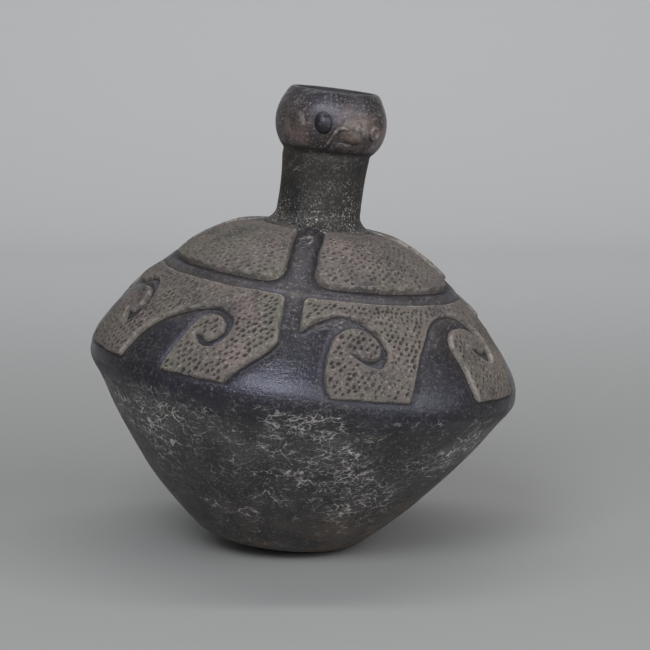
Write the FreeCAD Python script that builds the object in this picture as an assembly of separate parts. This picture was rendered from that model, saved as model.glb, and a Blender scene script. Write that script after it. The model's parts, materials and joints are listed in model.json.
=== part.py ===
import FreeCAD, Part
import math
import os

# A hand-built black clay bottle: a keeled body on a shallow domed base, a shoulder with
# raised punctated panels left around burnished waves and straps, and a short neck that
# opens into a bulb with a small animal face. The body leans a little towards +X and rests
# on a flat spot of its base. Millimetres and degrees. The bottle is shaped upright about
# its own axis, with the middle of the keel at zero height, and is then set down leaning.
# Azimuths are measured from the front (-Y) towards +X.

# Stance
lean = 7.1                  # tilt of the bottle's axis towards +X
stand_height = 80.0         # middle of the keel above the table
rest_radius = 18.0          # flat spot under the base

# Body
wall = 5.6                  # thickness of the clay
keel_radius = 100.4         # body radius at both seams of the keel coil's upper half
keel_top = 8.0              # seam between keel coil and shoulder
keel_bottom = -6.0          # seam between keel coil and bowl
keel_bulge = 2.1            # how far the keel coil rounds out past the line between its seams
bowl_rim_radius = 95.6      # bowl radius at the lower seam
bowl_bulge = 2.8            # how far the bowl rounds out past a straight cone
base_dome_radius = 120.0    # shallow dome under the base
base_radius = 39.8          # where the dome would meet the bowl
base_rounding = 5.0         # length of the softened edge on each side
shoulder_height = 73.2      # keel middle to the neck collar's seam
collar_radius = 27.0        # seam between shoulder and neck collar

# Neck and spout bulb, which stand a little to one side of the body's axis
neck_shift = -1.3
shoulder_overrun = 3.7      # the shoulder's curve runs this far past the shifted collar's seam
bore_radius = 13.8          # passage through the neck
neck_radius = 19.4
neck_flare = 1.0            # the neck is this much wider under the bulb
collar_height = 9.0         # seam of the collar above the shoulder's seam
collar_depth = 1.2          # the collar reaches this many wall thicknesses down inside the shoulder
neck_length = 27.0          # collar seam to bulb seam
bulb_radius = 26.2
bulb_height = 23.0
bulb_widest = 0.47          # share of the bulb's height at which it is widest
bulb_swell = (0.20, 0.94)   # and a place below, as shares of its height and of its radius
bulb_wall = 5.0
mouth_radius = 16.8
lip_radius = 23.4
lip_height = 4.6
lip_inner_height = 3.2      # the lip is this high where it turns down into the mouth
lip_lean = 0.4              # how far its outside leans in

# Raised, punctated panels on the shoulder; rises are measured up the slope from the keel seam
panel_thickness = 1.4
scroll_panel_foot = 1.5
scroll_panel_top = 50.5
cap_panel_thickness = 2.2
cap_panel_foot = 58.5
cap_panel_gap = 4.0         # between the cap panels and the neck collar
cap_corner = 7.0            # rounding of the cap panels' lower corners
strap_azimuths = (-6.5, 86.0, 173.5, 266.0)
strap_width = 15.5          # on the cap
strap_foot_width = 9.0      # between the scroll panels
strap_foot_rise = 21.0      # the strap has run into its wave by here

# The four burnished waves of one half: hook azimuth and rise, hook radius, azimuths of the
# wave's left and right foot, and how steeply its back climbs. The other half repeats them.
waves = (
    (-68.0, 30.0, 12.8, -109.0, -78.0, 2.0),
    (-31.0, 27.0, 10.8, -57.0, -40.0, 3.1),
    (14.0, 29.0, 13.2, -22.0, 7.0, 2.0),
    (59.5, 31.0, 13.2, 27.0, 51.5, 3.1),
)
wave_foot = -6.0            # the waves' outlines start below the panels' foot
wave_back_steps = (0, 0.06, 0.15, 0.3, 0.5, 0.75)   # shares of the way from left foot to crest
cutter_reach = 40.0         # the wave cutters reach this far into and out of the shoulder
# Hook outlines as (angle around the hook's middle, share of the hook's radius)
hook_outside = ((95, 1.0), (50, 1.0), (5, 1.0), (-40, 1.0), (-78, 0.97), (-112, 0.76), (-140, 0.5))
hook_inside = ((-140, 0.5), (-110, 0.55), (-72, 0.62), (-30, 0.7), (15, 0.7), (60, 0.6), (105, 0.52),
               (150, 0.66), (186, 0.86))

# Face on the bulb
face_azimuth = 26.0
eye_spread = 31.0           # degrees from the face's middle to each eye
eye_radius = 4.2
eye_stand = 1.9             # how far the domed eye stands off the bulb
eye_ring_radius = 2.9
eye_ring_section = 0.9
ear_spread = 59.0
ear_lift = 1.0              # the ears sit this far above the bulb's widest line
ear_radius = 5.2
ear_section = 1.3
muzzle_spread = 2.0
muzzle_radius = 13.0        # of the ball the muzzle is a slice of
muzzle_stand = 2.2
ridge_section = 1.0
# The ridge over the mouth, as (degrees from the face's middle, distance up the bulb)
ridge_route = ((-24.5, -7.5), (-16.0, -2.0), (-8.0, 0.8), (-3.0, -0.4))

Z_AXIS = FreeCAD.Vector(0, 0, 1)
BODY_AXIS = FreeCAD.Vector(0, 0, 0)
NECK_AXIS = FreeCAD.Vector(neck_shift, 0, 0)


def at(radius, height):
    """A point in the profile plane."""
    return FreeCAD.Vector(radius, 0, height)


def line(start, end):
    return Part.LineSegment(start, end).toShape()


def spline(points):
    curve = Part.BSplineCurve()
    curve.interpolate(points)
    return curve


def bulged_arc(start, end, bulge):
    """An arc from start to end that rounds out to the right of its chord by bulge."""
    chord = end - start
    side = FreeCAD.Vector(chord.z, 0, -chord.x).normalize()
    return Part.Arc(start, (start + end) * 0.5 + side * bulge, end)


def outward(curve, parameter):
    """The direction out of the clay, on a profile that runs upwards."""
    tangent = curve.tangent(parameter)[0]
    return FreeCAD.Vector(tangent.z, 0, -tangent.x)


def beside(curve, distance, count=9):
    """A spline that follows a profile at a distance, outwards when positive."""
    first, last = curve.FirstParameter, curve.LastParameter
    steps = [first + (last - first) * step / (count - 1) for step in range(count)]
    return spline([curve.value(step) + outward(curve, step) * distance for step in steps])


def revolve(edges, axis_point=BODY_AXIS):
    """A ring or disc with the closed section given, about an upright axis."""
    face = Part.Face(Part.Wire(Part.__sortEdges__(edges)))
    face.translate(axis_point)
    solid = face.revolve(axis_point, Z_AXIS, 360)
    return solid if solid.Volume > 0 else solid.reversed()


# Profiles: the domed base, the bowl, the keel coil and the shoulder, from the bottom up.

dome_lift = math.sqrt(base_dome_radius ** 2 - rest_radius ** 2)     # dome's middle above the table
dome_drop = (dome_lift - stand_height) / math.cos(math.radians(lean))
dome_centre = at(0, dome_drop)


def on_dome(radius, dome_radius):
    return at(radius, dome_drop - math.sqrt(dome_radius ** 2 - radius ** 2))


base_corner = on_dome(base_radius, base_dome_radius)
bowl_rim = at(bowl_rim_radius, keel_bottom)
bowl_line = (bowl_rim - base_corner).normalize()
base_edge = on_dome(base_radius - base_rounding, base_dome_radius)
bowl_foot = base_corner + bowl_line * base_rounding
bowl_arc = bulged_arc(bowl_foot, bowl_rim, bowl_bulge)
shoulder_foot = at(keel_radius, keel_top)
keel_arc = bulged_arc(bowl_rim, shoulder_foot, keel_bulge)


def shoulder_profile():
    """The shoulder's curve from the keel seam to just inside the neck collar's seam."""
    run = keel_radius - collar_radius + abs(neck_shift) + shoulder_overrun
    rise = shoulder_height - keel_top
    shares = ((0, 0), (0.176, 0.337), (0.420, 0.644), (0.605, 0.820), (1, 1))
    return spline([at(keel_radius - run * across, keel_top + rise * up) for across, up in shares])


shoulder = shoulder_profile()
shoulder_inside = beside(shoulder, -wall)


def on_shoulder(azimuth, rise):
    """The point of the shoulder at an azimuth and a rise up the slope, and its outward normal."""
    parameter = shoulder.parameterAtDistance(max(rise, 0), shoulder.FirstParameter)
    flat = shoulder.value(parameter) + shoulder.tangent(parameter)[0] * min(rise, 0)
    turn = FreeCAD.Rotation(Z_AXIS, azimuth - 90)
    return turn.multVec(flat), turn.multVec(outward(shoulder, parameter))


# Heights of the seams above the keel, from the shoulder to the lip

collar_floor = shoulder_height - collar_depth * wall
collar_top = shoulder_height + collar_height
bulb_foot = collar_top + neck_length
bulb_top = bulb_foot + bulb_height
lip_top = bulb_top + lip_height
neck_top_radius = neck_radius + neck_flare
bulb_middle = bulb_foot + bulb_widest * bulb_height


def base_disc():
    """The domed foot; the flat spot that the leaning bottle rests on is cut once it leans."""
    floor_radius = base_dome_radius - wall
    floor_edge = base_edge - (base_edge - dome_centre).normalize() * wall
    outer = Part.Arc(on_dome(0, base_dome_radius), on_dome(base_edge.x / 2, base_dome_radius), base_edge)
    inner = Part.Arc(on_dome(0, floor_radius), on_dome(floor_edge.x / 2, floor_radius), floor_edge)
    return revolve([outer.toShape(), line(base_edge, floor_edge), inner.toShape(),
                    line(on_dome(0, floor_radius), on_dome(0, base_dome_radius))])


def lower_bowl():
    """The bowl wall from the softened base edge up to the keel."""
    floor_edge = base_edge - (base_edge - dome_centre).normalize() * wall
    rim_inside = bowl_rim - outward(bowl_arc, bowl_arc.LastParameter) * wall
    middle = (bowl_arc.FirstParameter + bowl_arc.LastParameter) / 2
    inside = Part.Arc(floor_edge, bowl_arc.value(middle) - outward(bowl_arc, middle) * wall, rim_inside)
    edge = Part.BezierCurve()
    edge.setPoles([base_edge, base_corner, bowl_foot])
    return revolve([edge.toShape(), bowl_arc.toShape(), line(bowl_rim, rim_inside), inside.toShape(),
                    line(floor_edge, base_edge)])


def keel_coil():
    """The coil that joins the two halves of the body and makes its sharpest curve."""
    rim_inside = bowl_rim - outward(bowl_arc, bowl_arc.LastParameter) * wall
    foot_inside = shoulder_inside.StartPoint
    return revolve([keel_arc.toShape(), line(shoulder.StartPoint, foot_inside),
                    bulged_arc(rim_inside, foot_inside, keel_bulge).toShape(), line(rim_inside, bowl_rim)])


def shoulder_dome():
    """The shoulder's wall, burnished where it shows, with a round hole for the neck collar."""
    ring = revolve([shoulder.toShape(), line(shoulder.EndPoint, shoulder_inside.EndPoint),
                    shoulder_inside.toShape(), line(shoulder_inside.StartPoint, shoulder.StartPoint)])
    return ring.cut(Part.makeCylinder(collar_radius, 2 * shoulder_height, NECK_AXIS, Z_AXIS))


def wave_cutter(hook_azimuth, hook_rise, hook_radius, left_foot, right_foot, climb):
    """The outline of one wave, its back and its hook, as a prism through the shoulder's skin."""
    hook_middle = on_shoulder(hook_azimuth, hook_rise)
    turn_radius = math.hypot(hook_middle[0].x, hook_middle[0].y)

    def hook_point(angle, share):
        across = hook_radius * share * math.cos(math.radians(angle))
        up = hook_radius * share * math.sin(math.radians(angle))
        return hook_azimuth + math.degrees(across / turn_radius), hook_rise + up

    crest_azimuth, crest_rise = hook_point(*hook_outside[0])
    back = []
    for share in wave_back_steps:
        back.append((left_foot + share * (crest_azimuth - left_foot),
                     wave_foot + (crest_rise - wave_foot) * (1 - (1 - share) ** climb)))
    outside = back + [hook_point(*turn) for turn in hook_outside]
    inside = [hook_point(*turn) for turn in hook_inside]
    inside.append((right_foot - 1.0, (inside[-1][1] + wave_foot) / 2))
    inside.append((right_foot, wave_foot))

    origin, normal = hook_middle

    def flattened(places):
        points = [on_shoulder(*place)[0] for place in places]
        return [point - normal * (point - origin).dot(normal) for point in points]

    top, front = spline(flattened(outside)), spline(flattened(inside))
    face = Part.Face(Part.Wire([top.toShape(), front.toShape(), line(front.EndPoint, top.StartPoint)]))
    face.translate(normal * -cutter_reach)
    return face.extrude(normal * 2 * cutter_reach)


def strap_slab(azimuth, width, length):
    """An upright slab over a strap, which runs straight away from the bottle's axis."""
    slab = Part.makeBox(length, width, 2 * shoulder_height, FreeCAD.Vector(0, -width / 2, 0))
    slab.rotate(BODY_AXIS, Z_AXIS, azimuth - 90)
    return slab


def skin(thickness, rise_from, rise_to):
    """A thin ring lying on the shoulder between two rises."""
    piece = shoulder.copy()
    piece.segment(shoulder.parameterAtDistance(rise_from, shoulder.FirstParameter),
                  shoulder.parameterAtDistance(rise_to, shoulder.FirstParameter))
    cover = beside(piece, thickness)
    return revolve([piece.toShape(), line(piece.EndPoint, cover.EndPoint), cover.toShape(),
                    line(cover.StartPoint, piece.StartPoint)])


def scroll_panels():
    """The four raised panels around the waves, each between two straps."""
    ring = skin(panel_thickness, scroll_panel_foot, scroll_panel_top)
    cutters = [wave_cutter(hook + half, rise, radius, left + half, right + half, climb)
               for half in (0, 180) for hook, rise, radius, left, right, climb in waves]
    slot_end = abs(on_shoulder(0, strap_foot_rise)[0].y)
    cutters += [strap_slab(azimuth, strap_foot_width, slot_end) for azimuth in strap_azimuths]
    return ring.cut(cutters).Solids


def cap_panels():
    """The four raised panels around the neck, with rounded lower corners."""
    edge_radius = abs(on_shoulder(0, cap_panel_foot)[0].y)
    prism = Part.makeCylinder(edge_radius, 2 * shoulder_height)
    cutters = [strap_slab(azimuth, strap_width, keel_radius) for azimuth in strap_azimuths]
    cutters.append(Part.makeCylinder(collar_radius + cap_panel_gap, 2 * shoulder_height, NECK_AXIS, Z_AXIS))
    ring = skin(cap_panel_thickness, cap_panel_foot - cap_panel_thickness, shoulder.length())
    panels = []
    for sector in prism.cut(cutters).Solids:
        corners = [edge for edge in sector.Edges
                   if abs(math.hypot(edge.CenterOfMass.x, edge.CenterOfMass.y) - edge_radius) < 0.001
                   and edge.BoundBox.ZLength > shoulder_height]
        panels += ring.common(sector.makeFillet(cap_corner, corners)).Solids
    return panels


def neck_collar():
    """The soft coil that closes the shoulder and turns up into the neck."""
    seam_height = abs(on_shoulder(0, shoulder.length())[0].z)
    flare = Part.BezierCurve()
    flare.setPoles([at(collar_radius, seam_height), at(neck_radius, seam_height + collar_height / 4),
                    at(neck_radius, collar_top)])
    return revolve([flare.toShape(), line(at(neck_radius, collar_top), at(bore_radius, collar_top)),
                    line(at(bore_radius, collar_top), at(bore_radius, collar_floor)),
                    line(at(bore_radius, collar_floor), at(collar_radius, collar_floor)),
                    line(at(collar_radius, collar_floor), at(collar_radius, seam_height))], NECK_AXIS)


def neck_tube():
    side = spline([at(neck_radius, collar_top), at(neck_radius, collar_top + neck_length / 3),
                   at(neck_top_radius, bulb_foot)])
    return revolve([side.toShape(), line(at(neck_top_radius, bulb_foot), at(bore_radius, bulb_foot)),
                    line(at(bore_radius, bulb_foot), at(bore_radius, collar_top)),
                    line(at(bore_radius, collar_top), at(neck_radius, collar_top))], NECK_AXIS)


def bulb_outside():
    """The bulb's outer curve: out over a short undercut, round, and in to the lip."""
    up, across = bulb_swell
    return spline([at(neck_top_radius, bulb_foot), at(across * bulb_radius, bulb_foot + up * bulb_height),
                   at(bulb_radius, bulb_middle), at(lip_radius, bulb_top)])


def spout_bulb():
    """The hollow bulb, narrow below at the bore and above at the mouth."""
    up, across = bulb_swell
    hollow = bulb_radius - bulb_wall
    inside = spline([at(bore_radius, bulb_foot), at(across * hollow, bulb_foot + up * bulb_height),
                     at(hollow, bulb_middle), at(mouth_radius, bulb_top)])
    return revolve([bulb_outside().toShape(), line(at(lip_radius, bulb_top), at(mouth_radius, bulb_top)),
                    inside.toShape(), line(at(bore_radius, bulb_foot), at(neck_top_radius, bulb_foot))],
                   NECK_AXIS)


def lip_coil():
    """The rounded coil around the mouth."""
    outer_foot, inner_foot = at(lip_radius, bulb_top), at(mouth_radius, bulb_top)
    inner_edge = at(mouth_radius, bulb_top + lip_inner_height)
    over = Part.BezierCurve()
    over.setPoles([outer_foot, at(lip_radius - lip_lean, lip_top),
                   at((lip_radius + mouth_radius) / 2, lip_top), inner_edge])
    return revolve([over.toShape(), line(inner_edge, inner_foot), line(inner_foot, outer_foot)], NECK_AXIS)


# The face: each piece of it is trimmed to lie on the outside of the bulb.

bulb_curve = bulb_outside()
core_foot, core_top = bulb_foot - bulb_height, bulb_top + bulb_height
bulb_core = revolve([bulb_curve.toShape(), line(at(lip_radius, bulb_top), at(lip_radius, core_top)),
                     line(at(lip_radius, core_top), at(0, core_top)), line(at(0, core_top), at(0, core_foot)),
                     line(at(0, core_foot), at(neck_top_radius, core_foot)),
                     line(at(neck_top_radius, core_foot), at(neck_top_radius, bulb_foot))], NECK_AXIS)


def on_bulb(spread, lift=0.0):
    """The point of the bulb at an azimuth off the face's middle, lifted up the curve, and its normal."""
    middle = bulb_curve.parameter(at(bulb_radius, bulb_middle))
    parameter = bulb_curve.parameterAtDistance(lift, middle)
    turn = FreeCAD.Rotation(Z_AXIS, face_azimuth + spread - 90)
    return turn.multVec(bulb_curve.value(parameter)) + NECK_AXIS, turn.multVec(outward(bulb_curve, parameter))


def on_the_outside(shape):
    """What stands out of the bulb from a piece pressed into it."""
    return max(shape.cut(bulb_core).Solids, key=lambda solid: solid.Volume)


def boss(spread, lift, radius, stand):
    """A low dome of clay: the part of a ball that stands out of the bulb."""
    point, normal = on_bulb(spread, lift)
    return on_the_outside(Part.makeSphere(radius, point + normal * (stand - radius)))


def ring(spread, lift, radius, section):
    """A thin coil of clay laid in a circle on the bulb."""
    point, normal = on_bulb(spread, lift)
    return on_the_outside(Part.makeTorus(radius, section, point, normal))


def mouth_ridge():
    """A thin bent roll of clay over the animal's mouth."""
    path = spline([on_bulb(spread, lift)[0] for spread, lift in ridge_route])
    start_tangent = path.tangent(path.FirstParameter)[0]
    profile = Part.Wire(Part.makeCircle(ridge_section, path.StartPoint, start_tangent))
    return on_the_outside(Part.Wire(path.toShape()).makePipeShell([profile], True, True))


# The whole bottle: shape every piece upright, tilt it, and set it down on its flat spot.

quarters = ("front_right", "back_right", "back_left", "front_left")


def by_corner(panels, prefix):
    """Name panels after the corner of the bottle they lie at, going round from the front strap."""
    named = {}
    for panel in panels:
        middle = panel.CenterOfMass
        azimuth = math.degrees(math.atan2(middle.x, -middle.y))
        named[prefix + quarters[int((azimuth - strap_azimuths[0]) % 360 // 90)]] = panel
    return named


def upright_pieces():
    pieces = {"base_disc": base_disc(), "lower_bowl": lower_bowl(), "keel_coil": keel_coil(),
              "shoulder_dome": shoulder_dome(), "neck_collar": neck_collar(), "neck_tube": neck_tube(),
              "spout_bulb": spout_bulb(), "lip_coil": lip_coil()}
    pieces.update(by_corner(scroll_panels(), "scroll_panel_"))
    pieces.update(by_corner(cap_panels(), "cap_panel_"))
    pieces["left_eye"] = boss(-eye_spread, 0, eye_radius, eye_stand)
    pieces["right_eye"] = ring(eye_spread, 0, eye_ring_radius, eye_ring_section)
    pieces["left_ear"] = ring(-ear_spread, ear_lift, ear_radius, ear_section)
    pieces["right_ear"] = ring(ear_spread, ear_lift, ear_radius, ear_section)
    pieces["mouth_ridge"] = mouth_ridge()
    pieces["muzzle"] = boss(muzzle_spread, 0, muzzle_radius, muzzle_stand).cut(pieces["mouth_ridge"])
    return pieces


def set_down(solid):
    """Tilt a piece with the bottle and move it so that the flat spot is centred on the origin."""
    solid = solid.copy()
    solid.rotate(BODY_AXIS, FreeCAD.Vector(0, 1, 0), lean)
    solid.translate(FreeCAD.Vector(-dome_drop * math.sin(math.radians(lean)), 0, stand_height))
    return solid


os.makedirs("parts", exist_ok=True)
table = Part.makeBox(4 * keel_radius, 4 * keel_radius, keel_radius,
                     FreeCAD.Vector(-2 * keel_radius, -2 * keel_radius, -keel_radius))
for name, piece in upright_pieces().items():
    placed = set_down(piece)
    if name == "base_disc":
        placed = placed.cut(table).Solids[0]
    placed.exportStep("parts/" + name + ".step")
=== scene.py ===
import json
import math

import bpy
import numpy as np
from bpy.props import FloatProperty, FloatVectorProperty, PointerProperty
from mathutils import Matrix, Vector


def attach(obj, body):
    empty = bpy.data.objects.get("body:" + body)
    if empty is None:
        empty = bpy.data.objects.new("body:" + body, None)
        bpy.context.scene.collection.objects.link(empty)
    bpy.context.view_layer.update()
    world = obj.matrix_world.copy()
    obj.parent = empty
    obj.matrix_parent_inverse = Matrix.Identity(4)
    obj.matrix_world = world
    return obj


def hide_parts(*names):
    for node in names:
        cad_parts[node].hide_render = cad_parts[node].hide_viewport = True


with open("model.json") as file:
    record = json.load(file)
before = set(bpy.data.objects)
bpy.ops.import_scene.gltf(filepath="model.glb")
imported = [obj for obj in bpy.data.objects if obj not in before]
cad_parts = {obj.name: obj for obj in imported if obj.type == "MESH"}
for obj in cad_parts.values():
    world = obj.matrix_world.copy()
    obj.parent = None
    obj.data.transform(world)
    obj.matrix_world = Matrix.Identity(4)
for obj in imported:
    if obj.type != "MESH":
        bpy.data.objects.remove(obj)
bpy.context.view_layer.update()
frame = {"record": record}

bl_info = {
    "name": "Hand-built black clay bottle",
    "version": (1, 0, 0),
    "blender": (4, 5, 0),
    "location": "3D View > Sidebar > Clay Bottle",
    "description": "Models a leaning black clay bottle with burnished waves and stabbed grounds",
    "category": "Add Mesh",
}

# The bottle is shaped upright in millimetres about its own axis, with the middle of the keel
# at zero height, and is then leaned and set down where the frame has it. Azimuths are in
# degrees from the front towards +X. Travel is the distance in millimetres along the outside,
# counted up the slope from the seam between keel and shoulder.

MM = 0.001
BODY = "root"

WALL = 5.6
KEEL_BOTTOM, KEEL_RIDGE, KEEL_TOP = -6.0, 0.5, 8.0
SHOULDER_TOP, COLLAR_FLOOR, COLLAR_TOP = 73.2, 66.5, 82.2
BULB_FOOT, BULB_TOP = 109.2, 132.2
BORE, MOUTH = 13.8, 16.8
DOME_RADIUS, DOME_MIDDLE, DOME_EDGE = 120.0, 38.94, 34.8

# The outside above the domed base, as (radius, height)
OUTSIDE = (
    (39.5, -73.6), (44.0, -69.9), (54.5, -60.0), (64.0, -50.0), (72.2, -40.0), (79.8, -30.0),
    (86.8, -20.0), (92.8, -10.0), (96.4, -4.6), (99.3, -0.6), (100.7, 2.6), (100.7, 6.0), (99.0, 11.8),
    (94.2, 20.0), (86.6, 30.0), (77.9, 40.0), (67.5, 50.0), (53.0, 61.5), (40.0, 68.5), (28.6, 72.2),
    (22.5, 74.4), (20.1, 77.4), (19.5, 83.0), (19.4, 90.0), (19.7, 98.0), (20.3, 105.0), (20.5, 107.8),
    (21.8, 109.3), (23.9, 112.4), (25.4, 116.2), (26.1, 120.8), (25.7, 125.4), (24.5, 129.4), (22.9, 132.8),
)
LIP = ((21.6, 135.0), (20.5, 136.3), (19.3, 136.8), (18.1, 136.3), (17.2, 134.9), (16.8, BULB_TOP))
BULB_HOLLOW = ((BORE, BULB_FOOT), (16.5, 111.0), (20.2, 115.0), (21.0, 120.0), (20.2, 126.0), (18.0, 130.0),
               (MOUTH, BULB_TOP))

# How far the middle of the bottle wanders sideways, as (height, shift towards +X)
WANDER = ((-80.0, -1.2), (-45.0, -1.0), (-10.0, 0.8), (6.0, 1.0), (25.0, 0.5), (50.0, -0.4),
          (68.0, -0.9), (80.0, -1.3), (104.0, -1.1), (112.0, -0.6), (140.0, -0.5))
NECK_SHIFT = -1.3

# The burnished waves of one half of the shoulder, as (azimuth, travel) round each wave: up its
# back, over the crest, round the hook to its tip, and back down the inside to its foot.
WAVES = (
    ((-112, -5), (-109, 4), (-104, 14), (-99, 24), (-96, 33), (-90, 38), (-82, 37.5), (-77, 39.5),
     (-73, 42.5), (-68, 43), (-63, 40), (-60, 34), (-59.5, 26), (-61, 20), (-64, 17), (-67, 20), (-69, 24),
     (-66, 22.5), (-63.2, 26), (-63.5, 33), (-67, 36.5), (-72, 36), (-76, 31), (-79, 22), (-80, 10), (-80, -5)),
    ((-58, -5), (-56, 6), (-53, 18), (-48.5, 26), (-42, 32), (-36, 36), (-31, 37.5), (-27, 36), (-24, 32),
     (-23.5, 27), (-25, 21), (-28, 16.5), (-31, 16.5), (-33, 19), (-34.5, 22), (-33, 22.5), (-30, 20),
     (-27.2, 23), (-26.2, 28), (-28, 32), (-31, 33), (-34, 31), (-36, 26), (-37, 19), (-39, 8), (-41, -5)),
    ((-24, -5), (-21, 3), (-18, 10), (-13, 18), (-10, 24), (-8.5, 31), (-6, 36), (-4, 32), (0, 36.5), (4, 40),
     (8, 42.5), (13, 42), (17, 39), (20.5, 35), (23, 29), (23.5, 24), (22, 19), (20, 16.5), (17, 17.5),
     (14, 20), (11, 23.5), (15, 21.5), (18, 21), (20.5, 23), (21, 27), (20, 31), (17, 34.5), (13, 36),
     (9, 33), (7, 29), (6, 24), (5, 16), (5, 8), (6.5, 1), (8, -5)),
    ((25, -5), (27, 1), (29, 8), (31, 16), (34, 24), (37.5, 31), (41, 37), (46, 42), (52, 44.5), (58, 44),
     (63, 41), (67, 36), (69.5, 30), (69.7, 24), (68, 20), (65, 18), (61, 21), (57.5, 26), (61.5, 26),
     (65, 23.5), (66.3, 27), (64.5, 32), (61, 35.5), (56, 37), (52, 35.5), (49.5, 32), (48.5, 27), (49.3, 20),
     (50, 11), (50.7, 4), (53, -5)),
)
STRAPS = (-6.5, 86.0, 173.5, 266.0)
QUARTERS = ("front_right", "back_right", "back_left", "front_left")
SCROLL_FOOT, SCROLL_TOP = 1.5, 50.3
CAP_FOOT, CAP_TOP = 58.6, 101.0
STRAP_HALF = 7.3            # half the width of a strap between the grounds around the neck
BURIED = -1.9               # undersides of raised pieces lie this far under the burnished clay
TRIM = -1.5                 # and their edges are trimmed where they have sunk this far
SEAM_ANGLE = math.radians(50.0)     # turned pieces shade as crisp where their faces turn by more
BODY_COLUMNS, NECK_COLUMNS = 600, 300

# Where root marks gather on the bowl, as (azimuth, height, reach)
ROOT_NESTS = ((-2, -5, 14), (14, -25, 18), (30, -42, 15), (-48, -14, 18), (58, -20, 15), (120, -25, 24),
              (165, -45, 18), (205, -15, 22), (262, -34, 24), (300, -16, 14))
# Where the black is rubbed off the bulb, as (azimuth, height, reach across, reach up)
RUBBED = ((32, 121, 13, 9), (58, 118, 12, 10), (5, 127, 8, 4), (-42, 117, 9, 8), (205, 118, 14, 8))
# The eye sockets and the mouth hollow, as (azimuth, height, radius, depth, darkness of their painted shade)
SOCKETS = ((-9.0, 122.4, 6.8, 0.9, 0.6), (11.5, 115.4, 3.2, 1.5, 0.95), (50.0, 119.6, 4.6, 0.4, 0.3))


def length(name, description, default, least=0.0):
    """A length, given in millimetres."""
    return FloatProperty(name=name, description=description, default=default * MM, min=least * MM,
                         unit="LENGTH", subtype="DISTANCE", precision=5)


def power(name, description, default):
    return FloatProperty(name=name, description=description, default=default, min=0.0, unit="POWER")


def shade(name, description, value):
    return FloatVectorProperty(name=name, description=description, default=value, subtype="COLOR",
                               min=0.0, max=1.0)


class BottleForm(bpy.types.PropertyGroup):
    """Sizes of the relief and of the tool marks."""

    scroll_stand: length("Scroll ground height", "How far the lower grounds stand off", 1.35)
    cap_stand: length("Cap ground height", "How far the grounds around the neck stand off", 1.6)
    stab_length: length("Stab length", "Length of a stab in the lower grounds", 2.2)
    stab_depth: length("Stab depth", "Depth of a stab in the lower grounds", 0.8)
    stab_spacing: length("Stab spacing", "Distance between stabs in the lower grounds", 2.9, 1.0)
    lump_depth: length("Lump height", "How uneven the hand-pressed walls are", 0.55)
    grid_step: length("Relief step", "Mesh step of the stabbed grounds", 0.32, 0.2)


class ClayColours(bpy.types.PropertyGroup):
    """Colours of the fired clay."""

    burnished: shade("Burnished black", "The rubbed, smoke-black clay", (0.010, 0.009, 0.009))
    violet: shade("Violet smoke", "The bluish cast of the burnished clay", (0.015, 0.014, 0.021))
    ground: shade("Stabbed ground", "The matte clay of the raised grounds", (0.098, 0.082, 0.074))
    ground_green: shade("Ground, olive", "Olive patches in the grounds", (0.092, 0.086, 0.068))
    ground_pink: shade("Ground, pinkish", "Warm patches in the grounds", (0.140, 0.103, 0.098))
    root: shade("Root marks", "Pale marks that roots have left", (0.46, 0.44, 0.42))
    # Also the colour of the pale chips that make a painted highlight on the eye boss
    worn: shade("Worn clay", "Pale clay on rubbed edges, specks and root marks", (0.30, 0.275, 0.25))
    # Painted shade: this colour darkens the stabs, the grooves and creases, the sockets and the insides; it is
    # also the colour of the clay's dark grains
    shade_and_dark_grit: shade("Soot", "The clay down in the stabs", (0.009, 0.008, 0.0075))
    dust: shade("Dust", "The brown film on the upper burnished clay", (0.038, 0.030, 0.028))
    bowl: shade("Bowl", "The worn clay of the bowl", (0.047, 0.045, 0.047))
    rust: shade("Rust", "Brown fire marks near the foot", (0.100, 0.070, 0.048))
    neck: shade("Neck", "The smoked olive of the neck", (0.020, 0.018, 0.013))
    face: shade("Face", "The reddish clay of the worn face", (0.112, 0.080, 0.070))


class StudioSetup(bpy.types.PropertyGroup):
    """Camera, floor and light."""

    lens: FloatProperty(name="Lens", description="Focal length in millimetres", default=125.06, min=20.0)
    distance: length("Camera distance", "From the keel's middle, level with the floor", 1054.5)
    rise: length("Camera rise", "Camera above the keel's middle", 181.2)
    key_power: power("Key light", "Power of the wide light in front", 8.5)
    glint_power: power("Glint light", "Power of the smaller light on the left", 9.5)
    side_power: power("Side light", "Power of the light on the right", 7.5)
    wall_power: power("Wall light", "Power of the light on the backdrop", 31.0)
    fill: FloatProperty(name="Fill", description="Strength of the even light from the room", default=0.22,
                        min=0.0)
    # Painted light and shade: the floor colour is darker and the backdrop colour lighter, for the light falling
    # more on the backdrop
    floor: shade("Floor", "Colour of the floor", (0.24, 0.24, 0.237))
    wall: shade("Backdrop", "Colour the floor goes over into behind the bottle", (0.43, 0.43, 0.435))


# Lines, noise and the outside of the bottle


def flowing_line(points, spacing=0.2):
    """Points a spacing apart on a smooth line through the points given."""
    points = np.asarray(points, float)
    knots = np.concatenate([[0], np.cumsum(np.hypot(*np.diff(points, axis=0).T))])
    slopes = np.gradient(points, knots, axis=0, edge_order=1)
    fine = np.linspace(0, knots[-1], max(int(knots[-1] / spacing), 2) + 1)
    span = np.clip(np.searchsorted(knots, fine, side="right") - 1, 0, len(knots) - 2)
    length = (knots[span + 1] - knots[span])[:, None]
    share = (fine - knots[span])[:, None] / length
    start, end = points[span], points[span + 1]
    cubed, squared = share ** 3, share ** 2
    return ((2 * cubed - 3 * squared + 1) * start + (cubed - 2 * squared + share) * length * slopes[span]
            + (3 * squared - 2 * cubed) * end + (cubed - squared) * length * slopes[span + 1])


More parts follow.
